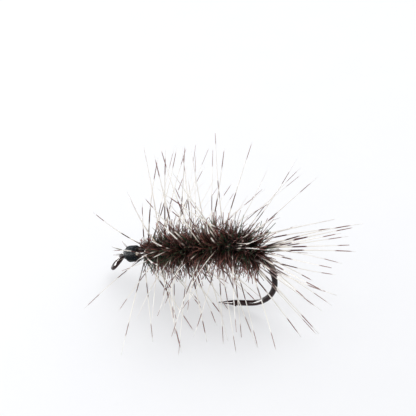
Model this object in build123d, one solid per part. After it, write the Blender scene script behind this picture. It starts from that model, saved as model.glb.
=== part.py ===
from build123d import *
import math
import os
import random

# A palmered dry fly. Everything is modelled in the hook's own frame: the shank runs along +X
# from the eye's neck at the origin, the bend turns down towards -Z, and y is the fly's side.
# At the end the fly is pitched to the way it stands on its point and its hackle tips.
# Millimetres and degrees.

# ---- hook: one bent wire
WIRE_D = 0.43  # shank, bend and point
SHANK_L = 9.0  # neck to the start of the bend
BEND_R = 2.7  # to the wire's centreline, so the gape is about twice this
BEND_TURN = 186.0  # past a half turn, so the point looks slightly in
POINT_LEG_L = 2.6  # end of the bend to the tip of the point
POINT_TAPER_L = 1.3
POINT_TIP_D = 0.05
MICRO_BARB_FROM_TIP = 0.95
MICRO_BARB_L = 0.42
MICRO_BARB_H = 0.13
MICRO_BARB_W = 0.12
MICRO_BARB_SEAT = 0.02  # its underside starts this far inside the leg's centreline
EYE_BORE_D = 1.02
EYE_WIRE_D = 0.33  # the wire is drawn down before it is rolled into the eye
EYE_LAND = 0.012  # depth to which the ring is pressed round inside
EYE_DROP = 34.0  # turned down from the shank
EYE_NECK_L = 0.34  # neck to the middle of the ring's wire
STAND_PITCH = 23.0  # shank rises this much towards the bend when the fly stands
GRIP_TURN = 110.0  # the fly is held by the bare wire this far round the bend

# ---- tying thread
THREAD_D = 0.058
THREAD_TURN_GAP = 0.005  # between close turns
THREAD_BASE_PITCH = 0.75  # open turns under the body
THREAD_BASE_W = 0.09  # the thread flattens where it is pulled over bare wire
THREAD_BASE_T = 0.045
THREAD_BASE_INSET = 0.08  # inside both ends of the straight body
THREAD_BASE_ANGLE = 40.0
HEAD_FRONT = 0.10
HEAD_L = 1.14
HEAD_TAPER_L = 0.42
WHIP_START = 0.36
WHIP_END_INSET = 0.10  # the whip finish stops short of the head's rear edge
CEMENT_T = 0.02
CEMENT_LAP = 0.03  # how far the cement runs past the thread at each end
REAR_WRAP_START = 0.15  # from the start of the bend
REAR_WRAPS = 10
GROOVE_SHARE = 0.6  # height of the groove between two close turns, as a share of the thread

# ---- peacock herl: three strands wound side by side
HERL_STRANDS = 3
QUILL_W = 0.26
QUILL_T = 0.09
BODY_FRONT = 1.42
BODY_ON_BEND = 2.8  # length of body that follows the bend
FLUES_PER_STRAND = 120
FLUE_FRONT_L = 0.75
FLUE_REAR_L = 2.15
FLUE_GROWTH_L = 3.2  # the flues reach their full length this far behind the head
FLUE_L_SHARES = (0.72, 1.06)  # shortest and longest flue at a place, as shares of its length there
FLUE_ROOT_D = 0.055
FLUE_TIP_D = 0.018
FLUE_LEAN = 5.0  # mean lean towards the rear
FLUE_LEAN_BEND = 26.0  # more of it round the bend
FLUE_LEAN_SPREAD = 16.0
FLUE_TWIST_SPREAD = 12.0
FLUE_ROW_SHARE = 0.35  # the flues grow within this share of the quill's width either side
STEP_DOWN_L = 1.0  # over this length the body steps from the bare shank up to the rear wraps
BUTT_W = 0.22
BUTT_T = 0.17
BUTT_GAP = 0.04  # between the bound butts and the first turn of the body
HERL_BUTT_ANGLES = (30, 120, 210)
HACKLE_BUTT_ANGLE = 300
HERL_TIP_W = 0.16
HERL_TIP_T = 0.05
HERL_TIP_L = 1.5
HERL_TIP_END_SHARE = 0.6  # what is left of the width at the very tip
HERL_TIP_ANGLES = (95, 180, 265)

# ---- hackle: one feather wound over the herl in open turns
HACKLE_TURNS = 8
STEM_REAR_D = 0.09
STEM_FRONT_D = 0.13
BARBS_PER_TURN = 17
BARB_L = 7.7
BARB_L_SHARES = (0.86, 1.06)  # shortest and longest barb, as shares of that
BARB_ROOT_D = 0.105
BARB_TIP_D = 0.045
BARB_LEAN = 6.0  # mean lean towards the rear
BARB_LEAN_FRONT = 9.0  # more of it just behind the head, whose turns push the barbs back
BARB_FRONT_L = 2.5
BARB_LEAN_BEND = 43.0  # more again round the bend
BARB_LEAN_SPREAD = 11.0
BARB_LEAN_LEAST = -14.0  # no barb but the trapped one leans forward more than this
BARB_TWIST_SPREAD = 15.0
BARB_SPLAY_SHARE = 0.45  # barbs that would pass the floor turn outwards by this share of what they need
STRAY_BEHIND_SHANK = 1.4  # one barb is trapped by its neighbours and points forwards from here
STRAY_ANGLE = -14.0
STRAY_LEAN = -52.0
HACKLE_TIP_ON_BEND = 4.4  # the feather's tip is left lying along the bend this far
HACKLE_TIP_W = 0.16  # under the wraps and the body
HACKLE_TIP_T = 0.05
HACKLE_TIP_FREE_W = 0.36  # behind the body
HACKLE_TIP_FREE_T = 0.09
HACKLE_TIP_END_SHARE = 0.35  # what is left of the width at the very tip

# ---- fibre ends that the scissors left in front of the head
TRIMMED_START = 0.1  # behind the head's front edge
TRIMMED_FORWARD = 0.75  # forward part of their direction
TRIMMED_ENDS = ((-20, 0.76, 0.95), (-52, 0.58, 0.75), (52, 0.80, 0.80), (-84, 0.60, 0.70), (100, 0.57, 0.50))

# ---- clearances
GAP = 0.004  # between one layer and the next
WIRE_CLEAR = 0.38  # barbs pass the bare wire at least this far off, centre to centre
GAPE_CLEAR = 1.0  # and the middle of the gape
BARE_WIRE_START = 0.5  # behind the body
EYE_CLEAR = 0.45  # barbs and trimmed ends keep this far from the line through the eye
EYE_PATH_L = 40.0  # how far out of the eye that line is kept free
CHECK_STEPS = 40  # places along a line at which a barb's distance is checked
SPANS = 12  # flat spans in one turn of anything that is wound
STRIP_STEP = 0.15  # longest flat span of a strip that is laid along the wire

WIRE_R = WIRE_D / 2
THREAD_PITCH = THREAD_D + THREAD_TURN_GAP  # close turns
HEAD_TURNS = int(HEAD_L / THREAD_PITCH)
LIFT = 1 / math.cos(math.pi / SPANS)  # corners of a wound span stand this much proud of its middle
HEAD_REAR = HEAD_FRONT + HEAD_TURNS * THREAD_PITCH
WHIP_TURNS = int((HEAD_REAR - WHIP_END_INSET - WHIP_START) / THREAD_PITCH)
BODY_REAR = SHANK_L + BODY_ON_BEND
EYE_RING_R = EYE_BORE_D / 2 - EYE_LAND + EYE_WIRE_D / 2
EYE_WAY = Vector(-math.cos(math.radians(EYE_DROP)), 0, -math.sin(math.radians(EYE_DROP)))
EYE_AXIS = Vector(-math.sin(math.radians(EYE_DROP)), 0, math.cos(math.radians(EYE_DROP)))
EYE_CENTRE = EYE_WAY * (EYE_NECK_L + EYE_RING_R)
UP = Vector(math.sin(math.radians(STAND_PITCH)), 0, math.cos(math.radians(STAND_PITCH)))
SIDE = Vector(0, 1, 0)


# ---- the wire's centreline, and places round it
def spine(s):
    """Point, tangent and outward normal of the wire's centreline, s behind the neck."""
    if s <= SHANK_L:
        return Vector(s, 0, 0), Vector(1, 0, 0), Vector(0, 0, 1)
    turn = (s - SHANK_L) / BEND_R
    outward = Vector(math.sin(turn), 0, math.cos(turn))
    tangent = Vector(math.cos(turn), 0, -math.sin(turn))
    return Vector(SHANK_L, 0, -BEND_R) + outward * BEND_R, tangent, outward


def radial(s, angle):
    """Unit vector straight out of the wire, angle degrees round it from the outward normal."""
    turn = math.radians(angle)
    return spine(s)[2] * math.cos(turn) + SIDE * math.sin(turn)


def beside(s, angle, radius, along=0.0, across=0.0):
    """A point radius out from the wire, moved along the wire and across it."""
    point, tangent, _ = spine(s)
    return point + radial(s, angle) * radius + tangent * along + radial(s, angle + 90) * across


def ramp(s, start, length):
    """Smooth rise from 0 to 1 over length, from start."""
    share = min(max((s - start) / length, 0.0), 1.0)
    return share * share * (3 - 2 * share)


def leaning(s, angle, lean):
    """Way out of the wire that leans back; round the bend, halfway between the wire and the shank's line."""
    back = (spine(s)[1] + Vector(1, 0, 0)).normalized()
    turn = math.radians(lean)
    return (radial(s, angle) * math.cos(turn) + back * math.sin(turn)).normalized()


# ---- strands and fibres
def wound(start, end, pitch, first_angle, radius_at, section_at):
    """A strand wound round the wire over radius_at(s), with section_at(s) of (out, along) corners."""
    turns = (end - start) / pitch
    count = math.ceil(turns * SPANS)
    rings = []
    for i in range(count + 1):
        s = start + (end - start) * i / count
        angle = first_angle + 360 * turns * i / count
        floor = radius_at(s) * LIFT
        corners = [beside(s, angle, floor + out, along) for out, along in section_at(s)]
        rings.append(Wire.make_polygon(corners, close=True))
    return Solid.make_loft(rings, ruled=True)


def round_section(diameter, corners=6):
    """Corners of a strand's section that stands on its own lowest point."""
    r = diameter / 2
    turns = [2 * math.pi * i / corners for i in range(corners)]
    return [(r - r * math.cos(t), r * math.sin(t)) for t in turns]


def flat_section(width, thickness):
    return [(0, -width / 2), (thickness, -width / 2), (thickness, width / 2), (0, width / 2)]


def laid(start, end, angle, radius, width_at, thickness_at):
    """A flat strip laid along the wire at one angle, with its width and thickness as functions of s."""
    count = max(2, math.ceil(abs(end - start) / STRIP_STEP))
    rings = []
    for i in range(count + 1):
        s = start + (end - start) * i / count
        half = width_at(s) / 2
        high = radius + thickness_at(s)
        corners = [(radius, -half), (high, -half), (high, half), (radius, half)]
        rings.append(Wire.make_polygon([beside(s, angle, r, 0, a) for r, a in corners], close=True))
    return Solid.make_loft(rings, ruled=True)


def fibre(root, way, length, root_d, tip_d, sides=4):
    """A slender straight fibre with flat sides, tapering from its root to its tip."""
    rings = []
    for distance, diameter in ((0, root_d), (length, tip_d)):
        plane = Plane(origin=root + way * distance, z_dir=way)
        turns = [2 * math.pi * i / sides for i in range(sides)]
        r = diameter / 2
        corners = [plane.from_local_coords((r * math.cos(t), r * math.sin(t), 0)) for t in turns]
        rings.append(Wire.make_polygon(corners, close=True))
    return Solid.make_loft(rings, ruled=True)


# ---- hook
def make_hook():
    line = Line((0, 0), (SHANK_L, 0))
    bend = JernArc((SHANK_L, 0), (1, 0), BEND_R, -BEND_TURN)
    leg_way = bend % 1
    leg_end = (bend @ 1) + leg_way * (POINT_LEG_L - POINT_TAPER_L)
    leg = Line(bend @ 1, leg_end)
    path = Plane.XZ * (line + bend + leg)
    wire = sweep(Plane(origin=(0, 0, 0), z_dir=(1, 0, 0)) * Circle(WIRE_R), path=path)

    to_world = Plane.XZ
    end = to_world.from_local_coords(leg_end)
    way = to_world.from_local_coords(leg_way)
    point = Cone(WIRE_R, POINT_TIP_D / 2, POINT_TAPER_L, align=(Align.CENTER, Align.CENTER, Align.MIN))
    wire += Plane(origin=end, z_dir=way) * point

    # the micro-barb is a sliver raised on the inside of the leg, open towards the bend
    inward = way.cross(SIDE)
    tip = end + way * POINT_TAPER_L
    foot = tip - way * MICRO_BARB_FROM_TIP
    corners = [
        foot + inward * MICRO_BARB_SEAT,
        foot - way * MICRO_BARB_L + inward * (WIRE_R + MICRO_BARB_H),
        foot - way * MICRO_BARB_L * 3 / 4 + inward * WIRE_R * 3 / 4,
        foot - way * MICRO_BARB_L + inward * MICRO_BARB_SEAT,
    ]
    corners = [c - SIDE * MICRO_BARB_W / 2 for c in corners]
    sliver = extrude(Face(Wire.make_polygon(corners, close=True)), amount=MICRO_BARB_W, dir=SIDE)
    wire += sliver

    # the neck turns down and runs into the rolled ring
    neck = Cone(WIRE_R, EYE_WIRE_D / 2, EYE_NECK_L, align=(Align.CENTER, Align.CENTER, Align.MIN))
    wire += Sphere(WIRE_R)
    wire += Plane(origin=(0, 0, 0), z_dir=EYE_WAY) * neck
    ring_plane = Plane(origin=EYE_CENTRE, z_dir=EYE_AXIS)
    wire += ring_plane * Torus(EYE_RING_R, EYE_WIRE_D / 2)
    wire -= ring_plane * Cylinder(EYE_BORE_D / 2, 2 * EYE_WIRE_D)
    return wire


# ---- layers on the wire, from the inside out
BUTT_OUTSIDE = math.hypot(WIRE_R + GAP + BUTT_T, BUTT_W / 2)
TIP_OUTSIDE = math.hypot(WIRE_R + GAP + HERL_TIP_T, HERL_TIP_W / 2)


def head_layer(layer):
    """Radius under the given thread layer of the head, as a function of s."""

    def radius(s):
        r = WIRE_R + GAP + (BUTT_OUTSIDE - WIRE_R) * ramp(s, HEAD_FRONT, HEAD_TAPER_L)
        for _ in range(layer):
            r += THREAD_D + GAP
        return r

    return radius


def under_herl(s):
    """Radius under the quills: over the open thread on the shank, over the rear wraps behind it."""
    on_shank = (WIRE_R + GAP) * LIFT + THREAD_BASE_T + GAP
    on_wraps = TIP_OUTSIDE + GAP + THREAD_D + 2 * GAP
    return on_shank + (on_wraps - on_shank) * ramp(s, SHANK_L - THREAD_BASE_INSET - STEP_DOWN_L, STEP_DOWN_L)


def under_stem(s):
    return under_herl(s) * LIFT + QUILL_T + GAP


def close_turns(start, turns, radius_at):
    """A layer of touching thread turns on the straight shank: a sleeve with one rib for each turn."""
    edges = []
    groove = [start + THREAD_PITCH * i for i in range(turns + 1)]
    low = [Vector(s, 0, radius_at(s) + THREAD_D * GROOVE_SHARE) for s in groove]
    for i in range(turns):
        middle = (groove[i] + groove[i + 1]) / 2
        edges.append(ThreePointArc(low[i], Vector(middle, 0, radius_at(middle) + THREAD_D), low[i + 1]))
    inside = [start + THREAD_PITCH * i / 2 for i in range(2 * turns + 1)]
    inside = [Vector(s, 0, radius_at(s)) for s in inside]
    edges += Polyline(low[-1], *reversed(inside), low[0]).edges()
    return revolve(Face(Wire(edges)), Axis.X)


def make_thread_base():
    section = flat_section(THREAD_BASE_W, THREAD_BASE_T)
    start, end = BODY_FRONT + THREAD_BASE_INSET, SHANK_L - THREAD_BASE_INSET
    return wound(start, end, THREAD_BASE_PITCH, THREAD_BASE_ANGLE, lambda s: WIRE_R + GAP, lambda s: section)


def make_rear_wraps():
    """Turns that bind the tips to the bend, set apart so that they clear each other on its inside."""
    radius = TIP_OUTSIDE + GAP + THREAD_D / 2
    pitch = (THREAD_D + GAP) / (1 - (radius + THREAD_D) / BEND_R)
    turns = []
    for i in range(REAR_WRAPS):
        point, tangent, _ = spine(SHANK_L + REAR_WRAP_START + pitch * i)
        turns.append(Plane(origin=point, z_dir=tangent) * Torus(radius, THREAD_D / 2))
    return turns


def under_cement(s):
    """Radius under the cement: over the head's thread, and over the whip finish where that lies."""
    whip_end = WHIP_START + WHIP_TURNS * THREAD_PITCH
    past_edge = max(WHIP_START - s, s - whip_end, 0.0)
    raised = max(1 - past_edge / THREAD_PITCH, 0.0)
    return head_layer(2)(s) + (THREAD_D + GAP) * raised


def make_head_cement():
    """A thin clear sleeve over the thread, swollen over the whip finish."""
    start, end = HEAD_FRONT - CEMENT_LAP, HEAD_REAR + CEMENT_LAP
    whip_end = WHIP_START + WHIP_TURNS * THREAD_PITCH
    count = math.ceil((end - start) / THREAD_PITCH * 2)
    stops = {start + (end - start) * i / count for i in range(count + 1)}
    stops |= {WHIP_START - THREAD_PITCH, WHIP_START, whip_end, whip_end + THREAD_PITCH}
    inner = [(s, under_cement(s)) for s in sorted(stops)]
    outer = [(s, r + CEMENT_T) for s, r in reversed(inner)]
    profile = Face(Wire.make_polygon([Vector(s, 0, r) for s, r in inner + outer], close=True))
    return revolve(profile, Axis.X)


# ---- herl
HERL_ROW = QUILL_W / (1 - (under_stem(BODY_REAR) + GAP) / BEND_R) + 2 * GAP
HERL_PITCH = HERL_STRANDS * HERL_ROW


def herl_start(strand):
    return BODY_FRONT + QUILL_W / 2 + strand * HERL_ROW


def herl_end(strand):
    return BODY_REAR - (HERL_STRANDS - 1 - strand) * HERL_ROW


def make_quill(strand):
    section = flat_section(QUILL_W, QUILL_T)
    start, end = herl_start(strand), herl_end(strand)
    return wound(start, end, HERL_PITCH, 0, under_herl, lambda s: section)


def flue_length(s):
    return FLUE_FRONT_L + (FLUE_REAR_L - FLUE_FRONT_L) * ramp(s, BODY_FRONT - 1, FLUE_GROWTH_L + 1)


def make_flues(strand):
    draw = random.Random(f"flues {strand}")
    start, end = herl_start(strand), herl_end(strand)
    flues = []
    for i in range(FLUES_PER_STRAND):
        s = start + (end - start) * (i + draw.random()) / FLUES_PER_STRAND
        angle = 360 * (s - start) / HERL_PITCH
        along = draw.uniform(-FLUE_ROW_SHARE, FLUE_ROW_SHARE) * QUILL_W
        root = beside(s, angle, under_stem(s), along)
        lean = draw.gauss(FLUE_LEAN + FLUE_LEAN_BEND * ramp(s, SHANK_L, BODY_ON_BEND), FLUE_LEAN_SPREAD)
        way = leaning(s, angle + draw.gauss(0, FLUE_TWIST_SPREAD), lean)
        length = flue_length(s) * draw.uniform(*FLUE_L_SHARES)
        flues.append(fibre(root, way, length, FLUE_ROOT_D, FLUE_TIP_D, 3))
    return flues


def make_butt(angle):
    start, end = BODY_FRONT - BUTT_GAP, HEAD_FRONT + HEAD_TAPER_L
    return laid(start, end, angle, WIRE_R + GAP, lambda s: BUTT_W, lambda s: BUTT_T)


def make_herl_butts():
    return [make_butt(angle) for angle in HERL_BUTT_ANGLES]


def make_herl_tips():
    end = SHANK_L + HERL_TIP_L
    width = lambda s: HERL_TIP_W * (1 - (1 - HERL_TIP_END_SHARE) * (s - SHANK_L) / HERL_TIP_L)
    return [laid(SHANK_L, end, a, WIRE_R + GAP, width, lambda s: HERL_TIP_T) for a in HERL_TIP_ANGLES]


# ---- hackle
STEM_FRONT = BODY_FRONT + 0.12
STEM_REAR = BODY_REAR + 0.02
STEM_PITCH = (STEM_REAR - STEM_FRONT) / HACKLE_TURNS
STEM_FIRST_ANGLE = 150.0


def stem_diameter(s):
    share = (s - STEM_FRONT) / (STEM_REAR - STEM_FRONT)
    return STEM_FRONT_D + (STEM_REAR_D - STEM_FRONT_D) * share


def make_stem():
    return wound(
        STEM_FRONT, STEM_REAR, STEM_PITCH, STEM_FIRST_ANGLE, under_stem,
        lambda s: round_section(stem_diameter(s)),
    )


def make_hackle_tip():
    """The feather's tip: narrow where it is bound in, and spread where it lies free behind the body."""
    end = SHANK_L + HACKLE_TIP_ON_BEND
    free_l = end - BODY_REAR

    def width(s):
        spread = HACKLE_TIP_W + (HACKLE_TIP_FREE_W - HACKLE_TIP_W) * ramp(s, BODY_REAR + GAP, free_l / 4)
        return spread * (1 - (1 - HACKLE_TIP_END_SHARE) * ramp(s, BODY_REAR + free_l / 2, free_l / 2))

    def thickness(s):
        return HACKLE_TIP_T + (HACKLE_TIP_FREE_T - HACKLE_TIP_T) * ramp(s, BODY_REAR + GAP, free_l / 4)

    return laid(SHANK_L, end, 0, WIRE_R + GAP, width, thickness)


def wire_checks():
    """Places that barbs keep clear of, each with its distance: bare wire, gape and the eye's line."""
    bare = [(Vector(SHANK_L, 0, -BEND_R), GAPE_CLEAR)]
    first = BODY_REAR + BARE_WIRE_START
    last = SHANK_L + BEND_R * math.radians(BEND_TURN)
    for i in range(CHECK_STEPS + 1):
        bare.append((spine(first + (last - first) * i / CHECK_STEPS)[0], WIRE_CLEAR))
    end, way, _ = spine(last)
    for i in range(1, CHECK_STEPS + 1):
        bare.append((end + way * POINT_LEG_L * i / CHECK_STEPS, WIRE_CLEAR))
    for i in range(4 * CHECK_STEPS):
        bare.append((EYE_CENTRE + EYE_AXIS * (EYE_PATH_L * i / (4 * CHECK_STEPS)), EYE_CLEAR))
    bare.append((EYE_CENTRE, EYE_RING_R + EYE_CLEAR))
    return bare


def passes_clear(root, way, length, kept_off):
    """True where a straight fibre stays far enough from every point that has to be kept off."""
    for point, distance in kept_off:
        reach = min(max((point - root).dot(way), 0.0), length)
        if (root + way * reach - point).length < distance:
            return False
    return True


def onto_floor(root, way, length, height):
    """Splay a fibre that would pass the floor, and end it there: its new direction and length."""
    reach = height - BARB_TIP_D / 2
    fall = -way.dot(UP) * length
    if fall <= reach:
        return way, length
    level = (way - UP * way.dot(UP)).normalized()
    drop = min(reach / length, 1.0)
    laid_out = level * math.sqrt(1 - drop * drop) - UP * drop
    splayed = (way * (1 - BARB_SPLAY_SHARE) + laid_out * BARB_SPLAY_SHARE).normalized()
    return splayed, min(length, reach / -splayed.dot(UP))


def barb_lean(s):
    """Mean lean of the barbs towards the rear: some behind the head, and a lot at the bend."""
    at_head = BARB_LEAN_FRONT * (1 - ramp(s, BODY_FRONT, BARB_FRONT_L))
    return BARB_LEAN + at_head + BARB_LEAN_BEND * ramp(s, SHANK_L - BODY_ON_BEND / 4, BODY_ON_BEND)


def barb_root(s, angle):
    return beside(s, angle, under_stem(s) * LIFT + stem_diameter(s) + BARB_ROOT_D / 2)


def make_barbs(turn, floor_drop, kept_off):
    draw = random.Random(f"barbs {turn}")
    barbs = []
    for i in range(BARBS_PER_TURN):
        s = STEM_FRONT + STEM_PITCH * (turn + (i + 0.5) / BARBS_PER_TURN)
        angle = STEM_FIRST_ANGLE + 360 * (s - STEM_FRONT) / STEM_PITCH
        root = barb_root(s, angle)
        full_l = BARB_L * draw.uniform(*BARB_L_SHARES)
        height = root.dot(UP) + floor_drop
        while True:
            lean = max(draw.gauss(barb_lean(s), BARB_LEAN_SPREAD), BARB_LEAN_LEAST)
            way = leaning(s, angle + draw.gauss(0, BARB_TWIST_SPREAD), lean)
            way, length = onto_floor(root, way, full_l, height)
            if passes_clear(root, way, length, kept_off):
                break
        barbs.append(fibre(root, way, length, BARB_ROOT_D, BARB_TIP_D))
    return barbs


def make_stray():
    """The trapped barb, which crosses over the back of the body."""
    s = SHANK_L + STRAY_BEHIND_SHANK
    way = leaning(s, STRAY_ANGLE, STRAY_LEAN)
    return fibre(barb_root(s, STRAY_ANGLE), way, BARB_L, BARB_ROOT_D, BARB_TIP_D)


def make_trimmed_ends():
    """Ends of barbs and herl that the scissors left, standing out in front of the head."""
    ends = []
    s = HEAD_FRONT + TRIMMED_START
    for angle, outwards, length in TRIMMED_ENDS:
        root = beside(s, angle, head_layer(3)(s) + CEMENT_T + FLUE_ROOT_D)
        way = radial(s, angle) * outwards - spine(s)[1] * TRIMMED_FORWARD
        ends.append(fibre(root, way.normalized(), length, FLUE_ROOT_D, FLUE_TIP_D))
    return ends


# ---- assembly
def make_fly():
    """Every node's solids, still in the hook's frame."""
    hook = make_hook()
    floor_drop = -(Rot(0, -STAND_PITCH, 0) * hook).bounding_box().min.Z
    kept_off = wire_checks()
    nodes = {
        "hook": [hook],
        "thread_base": [make_thread_base()],
        "thread_rear_wraps": make_rear_wraps(),
        "thread_front_wraps": [close_turns(HEAD_FRONT, HEAD_TURNS, head_layer(0))],
        "thread_head": [close_turns(HEAD_FRONT, HEAD_TURNS, head_layer(1))],
        "whip_finish": [close_turns(WHIP_START, WHIP_TURNS, head_layer(2))],
        "head_cement": [make_head_cement()],
        "herl_butts": make_herl_butts(),
        "herl_tips": make_herl_tips(),
        "hackle_stem": [make_stem()],
        "hackle_butt": [make_butt(HACKLE_BUTT_ANGLE)],
        "hackle_tip": [make_hackle_tip()],
        "trimmed_ends": make_trimmed_ends(),
    }
    for strand in range(HERL_STRANDS):
        nodes[f"herl_{strand + 1}_quill"] = [make_quill(strand)]
        nodes[f"herl_{strand + 1}_flues"] = make_flues(strand)
    for turn in range(HACKLE_TURNS):
        nodes[f"hackle_barbs_turn_{turn + 1}"] = make_barbs(turn, floor_drop, kept_off)
    stray_turn = int((SHANK_L + STRAY_BEHIND_SHANK - STEM_FRONT) / STEM_PITCH) + 1
    nodes[f"hackle_barbs_turn_{stray_turn}"].append(make_stray())
    return nodes


def stand_up(nodes):
    """Pitch the fly as it stands, and put the origin at the bottom centre of its box."""
    pitched = Rot(0, -STAND_PITCH, 0)
    shapes = {name: pitched * Compound(children=solids) for name, solids in nodes.items()}
    boxes = [shape.bounding_box() for shape in shapes.values()]
    lowest = Vector(*[min(getattr(b.min, axis) for b in boxes) for axis in "XYZ"])
    highest = Vector(*[max(getattr(b.max, axis) for b in boxes) for axis in "XYZ"])
    middle = (lowest + highest) / 2
    shift = Pos(-middle.X, -middle.Y, -lowest.Z)
    grip, _, _ = spine(SHANK_L + BEND_R * math.radians(GRIP_TURN))
    for place, at in (("eye", EYE_CENTRE), ("grip", grip)):
        print(place, (shift * pitched * Pos(*at)).position)
    print("size", highest - lowest)
    return {name: shift * shape for name, shape in shapes.items()}


os.makedirs("parts", exist_ok=True)
for name, shape in stand_up(make_fly()).items():
    export_step(shape, f"parts/{name}.step")
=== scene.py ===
import math
import random

import bpy
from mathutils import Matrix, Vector


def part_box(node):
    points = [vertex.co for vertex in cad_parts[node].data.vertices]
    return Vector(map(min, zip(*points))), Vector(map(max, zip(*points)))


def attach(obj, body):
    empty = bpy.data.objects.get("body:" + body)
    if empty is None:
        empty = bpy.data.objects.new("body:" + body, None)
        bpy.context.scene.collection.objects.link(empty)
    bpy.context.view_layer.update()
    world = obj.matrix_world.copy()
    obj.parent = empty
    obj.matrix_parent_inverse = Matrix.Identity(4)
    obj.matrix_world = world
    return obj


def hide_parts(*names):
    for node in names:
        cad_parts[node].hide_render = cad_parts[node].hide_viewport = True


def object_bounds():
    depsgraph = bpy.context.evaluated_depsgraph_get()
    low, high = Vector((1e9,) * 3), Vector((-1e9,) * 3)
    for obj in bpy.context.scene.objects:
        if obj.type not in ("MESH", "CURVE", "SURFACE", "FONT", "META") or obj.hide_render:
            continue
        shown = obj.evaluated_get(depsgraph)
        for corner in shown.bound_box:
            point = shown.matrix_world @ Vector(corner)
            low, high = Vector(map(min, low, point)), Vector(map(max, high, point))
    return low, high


# The looks of a palmered dry fly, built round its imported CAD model. Blender works in metres, so
# the small sizes of feather and thread are given in millimetres, times mm.
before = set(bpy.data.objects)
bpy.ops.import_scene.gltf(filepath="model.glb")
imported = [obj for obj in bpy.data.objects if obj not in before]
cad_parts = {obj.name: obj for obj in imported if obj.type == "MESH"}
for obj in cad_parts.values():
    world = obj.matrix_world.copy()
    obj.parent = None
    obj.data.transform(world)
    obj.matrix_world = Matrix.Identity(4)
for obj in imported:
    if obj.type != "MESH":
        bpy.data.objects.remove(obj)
bpy.context.view_layer.update()
cad_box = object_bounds()
mm = 0.001

BODY = "root"
SAME_PLACE = 1e-4 * mm  # corners nearer than this are one corner
FIBRE_END = 0.03  # share of a fibre's length in which its end's corners lie
HERL_STRANDS = 3
HACKLE_TURNS = 8
FLUE_NODES = [f"herl_{i + 1}_flues" for i in range(HERL_STRANDS)]
QUILL_NODES = [f"herl_{i + 1}_quill" for i in range(HERL_STRANDS)]
BARB_NODES = [f"hackle_barbs_turn_{i + 1}" for i in range(HACKLE_TURNS)]

# ---- camera and set
CAMERA_AZIMUTH = 21.5
CAMERA_ELEVATION = 39.6
LENS = 150.0
SENSOR = 36.0
VIEW_WIDTH = 30.25 * mm  # what the frame holds at the fly
FRAMING = (-1.566 * mm, 1.951 * mm)  # the aim's place right of and above the middle of the fly's box
CLIP_START, CLIP_END = 1 * mm, 4
FLOOR_HALF = 400 * mm
SHEET_GLOW = 0.35
ROOM_COLOUR, ROOM_STRENGTH = (0.97, 0.98, 1.0, 1), 0.80
SOFTBOX_PLACE = (14 * mm, 50 * mm, 115 * mm)
SOFTBOX_SIDE = 130 * mm
SOFTBOX_POWER = 0.078
SOFTBOX_COLOUR = (1.0, 0.995, 0.985)
STRIP_PLACE = (-100 * mm, -20 * mm, 22 * mm)
STRIP_SIZE = (160 * mm, 36 * mm)
STRIP_POWER = 1.1
STRIP_COLOUR = (1, 1, 1)

# ---- thread
THREAD_D = 0.058 * mm
THREAD_SEGMENTS = 28  # round one turn
THREAD_SIDES = 8
THREAD_FILAMENTS = 6  # twisted grooves that show round the thread
THREAD_TWIST = 0.5  # turns of that twist in one turn round the hook
TURN_PITCH_SHARE = 1.06  # from one turn to the next, as a share of the thread
THREAD_SPREAD = 1.04  # the wound thread flattens out a little
THREAD_WOBBLE = 0.012  # how far it strays from an even winding, as a share of its radius
PROFILE_SAMPLES = 48  # along a thread sleeve of the CAD model
PROFILE_CREST_REACH = 2  # samples either side
PROFILE_SMOOTH_REACH = 3

# ---- hackle barbs
BARB_POINTS = 11
BARB_SIDES = 6
BARB_R = (0.042 * mm, 0.060 * mm)  # half the width, at the root
BARB_NARROWING = 0.97
BARB_TAPER_POWER = 0.30  # the barb keeps its width for most of its length
BARB_FLATNESS = 0.6
BARB_BOW = (0.004, 0.035)  # share of its length
RESTING_TIP_Z = 1.0 * mm  # a barb that ends lower bows upwards, as it rests on its tip
BARS_PER_BARB = 2.0
BAR_WANDER = 0.30  # how far noise moves the bars
BAR_START, BAR_START_SPREAD = 0.36, 0.10  # in step along the feather, within a little
BAR_TONES = (0.10, 0.7, 0.9, 1.0, 1.0, 1.0)  # how dark a barb's bars are

# ---- herl flues
FLUE_POINTS = 5
FLUE_SIDES = 3
FINE_FLUES = 3  # fine flues for one flue of the CAD model
DOWN_FLUES = 13  # short ones that fill the body's core
FINE_FLUE_L = (0.70, 1.22)  # share of the CAD flue's length
DOWN_FLUE_L = (0.25, 0.55)
LEAST_FLUE_L = 0.6 * mm  # before that share is taken
FLUE_R = (0.034 * mm, 0.050 * mm)
FLUE_NARROWING = 0.40
FLUE_FLATNESS = 0.7
FLUE_SPREAD = 0.20  # how far the aims stray from the CAD flue's
FLUE_BOW = 0.03  # share of its length
FLUE_CURL = 0.12
FLUE_ROOT_ASIDE = 0.05 * mm
FLUE_ROOT_SUNK = 0.03 * mm
PAINTED_GLINT_FROM = 1.08  # painted glint: a flue whose tone and patch add up to more is coloured green, standing in for its shining sheen
PAINTED_GLINT_PATCH = 0.6

# ---- trimmed ends
TRIMMED_TWINS = 2  # fibres for each one of the CAD model
TRIMMED_POINTS = 7
TRIMMED_SIDES = 5
TRIMMED_ROOT_R = 0.030 * mm
TRIMMED_TIP_R = 0.010 * mm
TRIMMED_FLATNESS = 0.6
TRIMMED_SPREAD = 0.10
TRIMMED_SHORTER = 0.3  # by how much of its length the second one is shorter
TRIMMED_BOW = 0.04

# ---- first seeds of the random draws, so that every run is the same
BARB_SEED, FLUE_SEED, HEAD_SEED, TRIMMED_SEED = 100, 200, 300, 400


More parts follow.
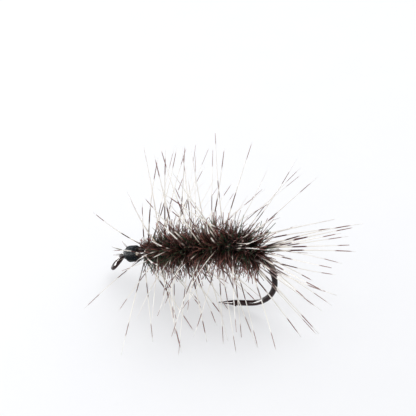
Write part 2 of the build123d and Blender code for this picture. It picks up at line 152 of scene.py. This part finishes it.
# ---------------------------------------------------------------- reading the CAD fibres
def islands(node):
    """The separate solids of a CAD node, each as a list of its distinct corners, in file order."""
    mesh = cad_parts[node].data
    parent = list(range(len(mesh.vertices)))

    def root_of(i):
        while parent[i] != i:
            parent[i] = parent[parent[i]]
            i = parent[i]
        return i

    same_place = {}
    for v in mesh.vertices:
        key = tuple(round(c / SAME_PLACE) for c in v.co)
        first = same_place.setdefault(key, v.index)
        parent[root_of(v.index)] = root_of(first)
    for edge in mesh.edges:
        a, b = edge.vertices
        parent[root_of(b)] = root_of(a)
    groups = {}
    for index in same_place.values():
        groups.setdefault(root_of(index), []).append((index, mesh.vertices[index].co.copy()))
    ordered = sorted(groups.values(), key=lambda group: min(index for index, _ in group))
    return [[place for _, place in group] for group in ordered]


def fibres_of(node):
    """(root, tip) of each straight tapered fibre in a CAD node: the root is its wider end."""
    fibres = []
    for corners in islands(node):
        middle = sum(corners, Vector()) / len(corners)
        far = max(corners, key=lambda c: (c - middle).length)
        other = max(corners, key=lambda c: (c - far).length)
        way = (other - far).normalized()
        places = [(c - far).dot(way) for c in corners]
        span = max(places)
        ends = []
        for at in (0, span):
            ends.append([c for c, place in zip(corners, places) if abs(place - at) < FIBRE_END * span])
        centres = [sum(end, Vector()) / len(end) for end in ends]
        widths = [max((c - m).length for c in end) for end, m in zip(ends, centres)]
        if widths[0] < widths[1]:
            centres.reverse()
        fibres.append(tuple(centres))
    return fibres


# ---------------------------------------------------------------- node materials
class Nodes:
    """A material's node tree, with short calls for the nodes that are used here."""

    def __init__(self, name):
        self.material = bpy.data.materials.new(name)
        self.material.use_nodes = True
        self.tree = self.material.node_tree
        self.tree.nodes.clear()
        self.out = self.tree.nodes.new("ShaderNodeOutputMaterial")

    def add(self, kind, values=None, **settings):
        node = self.tree.nodes.new(kind)
        for key, value in settings.items():
            setattr(node, key, value)
        for key, value in (values or {}).items():
            if isinstance(value, bpy.types.NodeSocket):
                self.tree.links.new(value, node.inputs[key])
            else:
                node.inputs[key].default_value = value
        return node

    def attribute(self, name):
        return self.add("ShaderNodeAttribute", attribute_name=name).outputs["Fac"]

    def math(self, operation, a, b=0.0):
        return self.add("ShaderNodeMath", {0: a, 1: b}, operation=operation).outputs[0]

    def line(self, value, slope, offset):
        """value times slope plus offset, kept between 0 and 1."""
        node = self.add("ShaderNodeMath", {0: value, 1: slope, 2: offset}, operation="MULTIPLY_ADD")
        node.use_clamp = True
        return node.outputs[0]

    def mix(self, share, a, b):
        node = self.add("ShaderNodeMix", data_type="RGBA")
        for key, value in ((0, share), (6, a), (7, b)):
            if isinstance(value, bpy.types.NodeSocket):
                self.tree.links.new(value, node.inputs[key])
            else:
                node.inputs[key].default_value = value
        return node.outputs[2]

    def ramp(self, value, stops):
        node = self.add("ShaderNodeValToRGB", {0: value})
        elements = node.color_ramp.elements
        while len(elements) < len(stops):
            elements.new(0.5)
        for element, (place, colour) in zip(elements, stops):
            element.position = place
            element.color = (*colour, 1)
        return node.outputs[0]

    def noise(self, scale, detail=3.0):
        place = self.add("ShaderNodeTexCoord").outputs["Object"]
        values = {"Vector": place, "Scale": scale, "Detail": detail}
        return self.add("ShaderNodeTexNoise", values).outputs["Fac"]

    def bump(self, height, strength, distance):
        values = {"Height": height, "Strength": strength, "Distance": distance}
        return self.add("ShaderNodeBump", values).outputs["Normal"]

    def feather(self, colour, roughness, through_share):
        """A thin fibre, which lets some light through."""
        shine = self.principled({"Base Color": colour, "Roughness": roughness, "Specular IOR Level": 0.4})
        through = self.add("ShaderNodeBsdfTranslucent", {"Color": colour}).outputs[0]
        return self.add("ShaderNodeMixShader", {0: through_share, 1: shine, 2: through}).outputs[0]

    def surface(self, shader):
        self.tree.links.new(shader, self.out.inputs["Surface"])
        return self.material

    def principled(self, values):
        return self.add("ShaderNodeBsdfPrincipled", values).outputs["BSDF"]


def barb_material():
    """Near-white barbs with a dark root and two red-brown bars, in step with their neighbours."""
    n = Nodes("grizzly_barb")
    along, seed, tone = n.attribute("along"), n.attribute("seed"), n.attribute("tone")
    wander = n.math("MULTIPLY", n.noise(scale=500, detail=2.0), BAR_WANDER)
    phase = n.math("ADD", n.math("ADD", n.math("MULTIPLY", along, BARS_PER_BARB), seed), wander)
    wave = n.math("SINE", n.math("MULTIPLY", phase, 2 * math.pi))
    bars = n.line(wave, slope=3.2, offset=-1.35)
    root = n.line(along, slope=-8.0, offset=1.9)
    pale = n.ramp(along, [
        (0.0, (0.78, 0.68, 0.56)),
        (0.3, (0.95, 0.92, 0.87)),
        (1.0, (0.985, 0.97, 0.95)),
    ])
    brown = n.ramp(along, [
        (0.0, (0.035, 0.014, 0.011)),
        (0.4, (0.15, 0.045, 0.034)),
        (1.0, (0.34, 0.14, 0.12)),
    ])
    darkness = n.math("MULTIPLY", n.math("MAXIMUM", bars, root), tone)
    colour = n.mix(darkness, pale, brown)
    return n.surface(n.feather(colour, roughness=0.42, through_share=0.5))


def flue_material():
    """Peacock herl: near black at the quill, red-brown at the tips, with a painted green glint in random
    patches.
    """
    n = Nodes("peacock_flue")
    along, seed, tone = n.attribute("along"), n.attribute("seed"), n.attribute("tone")
    dark = n.ramp(along, [
        (0.0, (0.005, 0.004, 0.003)),
        (0.5, (0.026, 0.011, 0.008)),
        (1.0, (0.150, 0.050, 0.038)),
    ])
    warm = n.ramp(along, [
        (0.0, (0.010, 0.005, 0.004)),
        (0.4, (0.115, 0.040, 0.028)),
        (1.0, (0.460, 0.180, 0.140)),
    ])
    green = n.ramp(along, [
        (0.0, (0.004, 0.010, 0.006)),
        (0.5, (0.012, 0.070, 0.034)),
        (1.0, (0.090, 0.110, 0.045)),
    ])
    # painted glint: random patches of flues take a green colour in place of the herl's shining sheen
    patch = n.math("MULTIPLY", n.noise(scale=330), PAINTED_GLINT_PATCH)
    painted_glint = n.math("GREATER_THAN", n.math("ADD", tone, patch), PAINTED_GLINT_FROM)
    colour = n.mix(painted_glint, n.mix(seed, dark, warm), green)
    return n.surface(n.feather(colour, roughness=0.38, through_share=0.25))


def thread_material():
    """Black waxed thread with fine filaments and a faint blue cast."""
    n = Nodes("black_thread_fine")
    along, seed = n.attribute("along"), n.attribute("seed")
    turns = n.math("ADD", along, seed)
    strand = n.math("SINE", n.math("MULTIPLY", turns, 2 * math.pi * THREAD_FILAMENTS))
    colour = n.mix(n.noise(scale=700), (0.002, 0.004, 0.008, 1), (0.010, 0.017, 0.028, 1))
    normal = n.bump(strand, strength=0.35, distance=0.004 * mm)
    return n.surface(n.principled({
        "Base Color": colour, "Roughness": 0.42, "Normal": normal, "Specular IOR Level": 0.18,
    }))


def plain_thread_material():
    n = Nodes("black_thread_inner")
    colour = n.mix(n.noise(scale=900), (0.005, 0.006, 0.008, 1), (0.020, 0.024, 0.026, 1))
    normal = n.bump(n.noise(scale=9000, detail=2.0), strength=0.3, distance=0.003 * mm)
    return n.surface(n.principled({"Base Color": colour, "Roughness": 0.5, "Normal": normal}))


def cement_material():
    """Clear head cement."""
    n = Nodes("clear_cement")
    clear = n.add("ShaderNodeBsdfTransparent", {"Color": (0.97, 0.97, 0.95, 1)}).outputs[0]
    rough = n.line(n.noise(scale=1500), slope=0.12, offset=0.16)
    gloss = n.principled({"Base Color": (0.02, 0.022, 0.022, 1), "Roughness": rough})
    fresnel = n.add("ShaderNodeFresnel", {"IOR": 1.18}).outputs[0]
    both = n.add("ShaderNodeMixShader", {0: fresnel, 1: clear, 2: gloss}).outputs[0]
    return n.surface(both)


def hook_material():
    """Bronzed wire under clear lacquer, near black, with drawing marks and worn brown patches."""
    n = Nodes("bronzed_wire")
    colour = n.ramp(n.noise(scale=420, detail=4.0), [
        (0.35, (0.012, 0.004, 0.005)),
        (0.58, (0.030, 0.011, 0.010)),
        (0.80, (0.085, 0.034, 0.022)),
    ])
    rough = n.line(n.noise(scale=1600), slope=0.10, offset=0.07)
    normal = n.bump(n.noise(scale=6000, detail=2.0), strength=0.10, distance=0.003 * mm)
    return n.surface(n.principled({
        "Base Color": colour, "Roughness": rough, "Normal": normal, "Specular IOR Level": 0.24,
    }))


def quill_material():
    n = Nodes("herl_quill_fine")
    colour = n.mix(n.noise(scale=600), (0.010, 0.006, 0.004, 1), (0.050, 0.026, 0.016, 1))
    normal = n.bump(n.noise(scale=5000), strength=0.5, distance=0.01 * mm)
    return n.surface(n.principled({"Base Color": colour, "Roughness": 0.55, "Normal": normal}))


def stem_material(name, dark, middle, light):
    """A feather's stem: horn-coloured, with streaks."""
    n = Nodes(name)
    colour = n.ramp(n.noise(scale=1100, detail=4.0), [(0.36, dark), (0.52, middle), (0.68, light)])
    normal = n.bump(n.noise(scale=4000), strength=0.4, distance=0.008 * mm)
    return n.surface(n.principled({"Base Color": colour, "Roughness": 0.5, "Normal": normal}))


def trimmed_material():
    n = Nodes("trimmed_fibre_fine")
    along, seed = n.attribute("along"), n.attribute("seed")
    brown = n.ramp(along, [(0.0, (0.030, 0.014, 0.010)), (1.0, (0.20, 0.075, 0.045))])
    olive = n.ramp(along, [(0.0, (0.040, 0.036, 0.020)), (1.0, (0.26, 0.23, 0.15))])
    colour = n.mix(n.math("GREATER_THAN", seed, 0.5), brown, olive)
    return n.surface(n.principled({"Base Color": colour, "Roughness": 0.5}))


def floor_material():
    """A white sheet with a very faint grain, lit a little from beneath, so shadows stay pale."""
    n = Nodes("white_sheet")
    colour = n.mix(n.noise(scale=260, detail=5.0), (0.495, 0.50, 0.52, 1), (0.515, 0.52, 0.535, 1))
    normal = n.bump(n.noise(scale=900, detail=6.0), strength=0.10, distance=0.05 * mm)
    return n.surface(n.principled({
        "Base Color": colour, "Roughness": 0.8, "Normal": normal,
        "Emission Color": (1, 1, 1, 1), "Emission Strength": SHEET_GLOW,
    }))


# ---------------------------------------------------------------- fibres as meshes
class FibreMesh:
    """Gathers many thin tubes into one mesh, with their place along the fibre as attributes."""

    def __init__(self, name):
        self.name = name
        self.places, self.faces = [], []
        self.along, self.seed, self.tone = [], [], []

    def add(self, points, radii, sides, flat=1.0, seed=0.0, tone=0.0, marks=None):
        """A tube through points. flat is the section's thickness over its width."""
        first = len(self.places)
        last = len(points) - 1
        across = (points[-1] - points[0]).orthogonal().normalized()
        for i, point in enumerate(points):
            way = (points[min(i + 1, last)] - points[max(i - 1, 0)]).normalized()
            across = (across - way * across.dot(way)).normalized()
            other = way.cross(across)
            for k in range(sides):
                turn = 2 * math.pi * k / sides
                out = across * math.cos(turn) + other * (math.sin(turn) * flat)
                self.places.append(point + out * radii[i])
                self.along.append(marks[i] if marks else i / last)
                self.seed.append(seed)
                self.tone.append(tone)
        for i in range(last):
            for k in range(sides):
                a = first + i * sides + k
                b = first + i * sides + (k + 1) % sides
                self.faces.append((a, b, b + sides, a + sides))
        self.faces.append(tuple(first + k for k in reversed(range(sides))))
        self.faces.append(tuple(first + last * sides + k for k in range(sides)))

    def build(self, material):
        mesh = bpy.data.meshes.new(self.name)
        mesh.from_pydata(self.places, [], self.faces)
        for name, values in (("along", self.along), ("seed", self.seed), ("tone", self.tone)):
            mesh.attributes.new(name, "FLOAT", "POINT").data.foreach_set("value", values)
        mesh.polygons.foreach_set("use_smooth", [True] * len(mesh.polygons))
        mesh.materials.append(material)
        mesh.update()
        obj = bpy.data.objects.new(self.name, mesh)
        bpy.context.scene.collection.objects.link(obj)
        return obj


def stand_for(obj, node):
    """The piece rides with the fly, takes the place of a CAD node, and has its finish."""
    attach(obj, BODY)
    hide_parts(node)


def aside(way, draw):
    """A random unit vector square to way."""
    loose = Vector((draw.gauss(0, 1), draw.gauss(0, 1), draw.gauss(0, 1)))
    return (loose - way * loose.dot(way)).normalized()


def bowed(root, tip, bow, amount, count, curl=0.0):
    """Points from root to tip that bow to one side, and curl a little more towards the tip."""
    points = []
    for i in range(count):
        t = i / (count - 1)
        shift = math.sin(math.pi * t) * amount + curl * t * t
        points.append(root.lerp(tip, t) + bow * shift)
    return points


# ---------------------------------------------------------------- the hackle
def make_barbs(node, material, draw):
    fine = FibreMesh(node.replace("turn", "fine"))
    for root, tip in fibres_of(node):
        way = (tip - root).normalized()
        length = (tip - root).length
        bow = aside(way, draw)
        if tip.z < RESTING_TIP_Z:
            bow = (Vector((0, 0, 1)) - way * way.z).normalized()
        points = bowed(root, tip, bow, length * draw.uniform(*BARB_BOW), BARB_POINTS)
        root_r = draw.uniform(*BARB_R)
        narrowed = [1 - BARB_NARROWING * i / (BARB_POINTS - 1) for i in range(BARB_POINTS)]
        radii = [root_r * share ** BARB_TAPER_POWER for share in narrowed]
        for point, r in zip(points, radii):
            point.z = max(point.z, r)
        tone = draw.choice(BAR_TONES)
        start = draw.gauss(BAR_START, BAR_START_SPREAD)
        fine.add(points, radii, BARB_SIDES, flat=BARB_FLATNESS, seed=start, tone=tone)
    stand_for(fine.build(material), node)


# ---------------------------------------------------------------- the herl body
def make_flues(node, material, draw):
    """Dense fine flues, placed and aimed between neighbouring flues of the CAD node."""
    rough = fibres_of(node)
    fine = FibreMesh(node.replace("flues", "fine_flues"))
    for (root, tip), (next_root, next_tip) in zip(rough, rough[1:] + rough[-1:]):
        way, next_way = tip - root, next_tip - next_root
        for count, shares, warms in ((FINE_FLUES, FINE_FLUE_L, True), (DOWN_FLUES, DOWN_FLUE_L, False)):
            for _ in range(count):
                share = draw.random()
                start = root.lerp(next_root, share)
                reach = way.lerp(next_way, share)
                length = max(reach.length, LEAST_FLUE_L) * draw.uniform(*shares)
                out = reach.normalized()
                aim = (out + aside(out, draw) * abs(draw.gauss(0, FLUE_SPREAD))).normalized()
                start = start + aside(aim, draw) * FLUE_ROOT_ASIDE - aim * FLUE_ROOT_SUNK
                side = aside(aim, draw)
                curl = length * draw.uniform(-FLUE_CURL, FLUE_CURL)
                points = bowed(start, start + aim * length, side, length * FLUE_BOW, FLUE_POINTS, curl)
                root_r = draw.uniform(*FLUE_R)
                radii = [root_r * (1 - FLUE_NARROWING * i / (FLUE_POINTS - 1)) for i in range(FLUE_POINTS)]
                warmth = draw.random() if warms else 0.0
                tone = draw.random()
                fine.add(points, radii, FLUE_SIDES, flat=FLUE_FLATNESS, seed=warmth, tone=tone)
    stand_for(fine.build(material), node)


# ---------------------------------------------------------------- the head
def shank_axis(node):
    """A point on the straight shank and the way along it, from the open winding round it."""
    corners = [v.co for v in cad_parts[node].data.vertices]
    low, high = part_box(node)
    third = (high.x - low.x) / 3
    front = [c for c in corners if c.x < low.x + third]
    rear = [c for c in corners if c.x > high.x - third]
    a = sum(front, Vector()) / len(front)
    b = sum(rear, Vector()) / len(rear)
    return a, (b - a).normalized()


def layer_profile(node, origin, way):
    """Outer radius of a sleeve's ribs at even steps along its axis: (start, end, radii)."""
    corners = [v.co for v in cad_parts[node].data.vertices]
    places = [((c - origin).dot(way), c) for c in corners]
    start, end = min(p for p, _ in places), max(p for p, _ in places)
    last = PROFILE_SAMPLES - 1
    radii = [0.0] * PROFILE_SAMPLES
    for place, c in places:
        i = min(int((place - start) / (end - start) * PROFILE_SAMPLES), last)
        out = (c - origin - way * place).length
        radii[i] = max(radii[i], out)
    reach = PROFILE_CREST_REACH
    crests = [max(radii[max(0, i - reach): i + reach + 1]) for i in range(PROFILE_SAMPLES)]
    return start, end, crests


def smooth(values, reach):
    """Each value averaged with its neighbours."""
    count = len(values)
    smoothed = []
    for i in range(count):
        near = values[max(0, i - reach): min(count, i + reach + 1)]
        smoothed.append(sum(near) / len(near))
    return smoothed


def make_winding(node, name, origin, way, material, draw):
    """One helical strand in place of a ribbed sleeve, in turns that touch."""
    start, end, radii = layer_profile(node, origin, way)
    radii = smooth(radii, PROFILE_SMOOTH_REACH)
    up = way.orthogonal().normalized()
    side = way.cross(up)
    r = THREAD_D / 2
    turns = round((end - start - THREAD_D) / (THREAD_D * TURN_PITCH_SHARE))
    count = turns * THREAD_SEGMENTS
    points, marks = [], []
    for i in range(count + 1):
        share = i / count
        place = start + r + (end - start - THREAD_D) * share
        slot = min(int(share * len(radii)), len(radii) - 1)
        out = radii[slot] - r
        turn = 2 * math.pi * turns * share
        wobble = draw.uniform(-THREAD_WOBBLE, THREAD_WOBBLE) * r
        points.append(origin + way * (place + wobble) + (up * math.cos(turn) + side * math.sin(turn)) * out)
        marks.append(turns * share * THREAD_TWIST)
    fine = FibreMesh(name)
    fine.add(points, [r * THREAD_SPREAD] * len(points), THREAD_SIDES, seed=draw.random(), marks=marks)
    stand_for(fine.build(material), node)


def make_head(material, draw):
    """The head's outer layer and the whip finish as wound thread."""
    origin, way = shank_axis("thread_base")
    make_winding("thread_head", "head_winding", origin, way, material, draw)
    make_winding("whip_finish", "whip_finish_winding", origin, way, material, draw)


def make_trimmed_ends(material, draw):
    """Cut ends in front of the head, each with a shorter one beside it."""
    fine = FibreMesh("trimmed_ends_fine")
    last = TRIMMED_POINTS - 1
    narrowing = TRIMMED_ROOT_R - TRIMMED_TIP_R
    radii = [TRIMMED_ROOT_R - narrowing * i / last for i in range(TRIMMED_POINTS)]
    for root, tip in fibres_of("trimmed_ends"):
        way = (tip - root).normalized()
        length = (tip - root).length
        for twin in range(TRIMMED_TWINS):
            aim = (way + aside(way, draw) * TRIMMED_SPREAD * twin).normalized()
            end = root + aim * length * (1 - TRIMMED_SHORTER * twin)
            points = bowed(root, end, aside(way, draw), length * TRIMMED_BOW, TRIMMED_POINTS)
            fine.add(points, radii, TRIMMED_SIDES, flat=TRIMMED_FLATNESS, seed=draw.random())
    stand_for(fine.build(material), "trimmed_ends")


# ---------------------------------------------------------------- set
def paint(node, material):
    """A better finish on a CAD node whose shape is right."""
    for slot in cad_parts[node].material_slots:
        slot.material = material


def make_floor():
    mesh = bpy.data.meshes.new("floor")
    h = FLOOR_HALF
    mesh.from_pydata([(-h, -h, 0), (h, -h, 0), (h, h, 0), (-h, h, 0)], [], [(0, 1, 2, 3)])
    mesh.materials.append(floor_material())
    floor = bpy.data.objects.new("floor", mesh)
    bpy.context.scene.collection.objects.link(floor)


def area_light(name, place, width, length, power, colour):
    """A rectangular light that faces the fly."""
    data = bpy.data.lights.new(name, "AREA")
    data.shape = "RECTANGLE"
    data.size = width
    data.size_y = length
    data.energy = power
    data.color = colour
    light = bpy.data.objects.new(name, data)
    light.location = place
    light.rotation_mode = "QUATERNION"
    light.rotation_quaternion = (-Vector(place)).to_track_quat("-Z", "Y")
    bpy.context.scene.collection.objects.link(light)
    return light


def make_lights():
    """A white room with one large soft source overhead, and a strip that only shows in gloss."""
    world = bpy.data.worlds.new("studio")
    world.use_nodes = True
    background = world.node_tree.nodes["Background"]
    background.inputs["Color"].default_value = ROOM_COLOUR
    background.inputs["Strength"].default_value = ROOM_STRENGTH
    bpy.context.scene.world = world
    area_light("softbox", SOFTBOX_PLACE, SOFTBOX_SIDE, SOFTBOX_SIDE, SOFTBOX_POWER, SOFTBOX_COLOUR)
    strip = area_light("strip", STRIP_PLACE, *STRIP_SIZE, STRIP_POWER, STRIP_COLOUR)
    strip.visible_diffuse = False
    strip.visible_transmission = False


def camera_vectors(azimuth, elevation):
    """Unit vectors from the fly back to the camera, to the frame's right, and up it."""
    a, e = math.radians(azimuth), math.radians(elevation)
    back = Vector((math.sin(a) * math.cos(e), -math.cos(a) * math.cos(e), math.sin(e)))
    right = Vector((math.cos(a), math.sin(a), 0))
    return back, right, back.cross(right)


def make_camera():
    back, right, up = camera_vectors(CAMERA_AZIMUTH, CAMERA_ELEVATION)
    middle = (cad_box[0] + cad_box[1]) / 2
    aim = middle + right * FRAMING[0] + up * FRAMING[1]
    data = bpy.data.cameras.new("camera")
    data.lens = LENS
    data.sensor_width = SENSOR
    data.clip_start = CLIP_START
    data.clip_end = CLIP_END
    camera = bpy.data.objects.new("camera", data)
    camera.location = aim + back * (VIEW_WIDTH * LENS / SENSOR)
    camera.rotation_mode = "QUATERNION"
    camera.rotation_quaternion = (-back).to_track_quat("-Z", "Y")
    bpy.context.scene.collection.objects.link(camera)
    bpy.context.scene.camera = camera


# ---------------------------------------------------------------- the fly
def make_fly():
    barb, flue = barb_material(), flue_material()
    for i, node in enumerate(BARB_NODES):
        make_barbs(node, barb, random.Random(BARB_SEED + i))
    for i, node in enumerate(FLUE_NODES):
        make_flues(node, flue, random.Random(FLUE_SEED + i))
    make_head(thread_material(), random.Random(HEAD_SEED))
    make_trimmed_ends(trimmed_material(), random.Random(TRIMMED_SEED))
    paint("hook", hook_material())
    paint("head_cement", cement_material())
    inner = plain_thread_material()
    for node in ("thread_base", "thread_rear_wraps", "thread_front_wraps"):
        paint(node, inner)
    quill = quill_material()
    for node in QUILL_NODES + ["herl_butts", "herl_tips"]:
        paint(node, quill)
    stem = stem_material("pale_stem", (0.10, 0.070, 0.048), (0.30, 0.235, 0.175), (0.50, 0.42, 0.33))
    for node in ("hackle_stem", "hackle_butt"):
        paint(node, stem)
    barred = stem_material("barred_tip", (0.020, 0.012, 0.009), (0.11, 0.075, 0.055), (0.34, 0.27, 0.21))
    paint("hackle_tip", barred)


bpy.context.scene.view_settings.view_transform = "Standard"
make_camera()
make_lights()
make_floor()
make_fly()
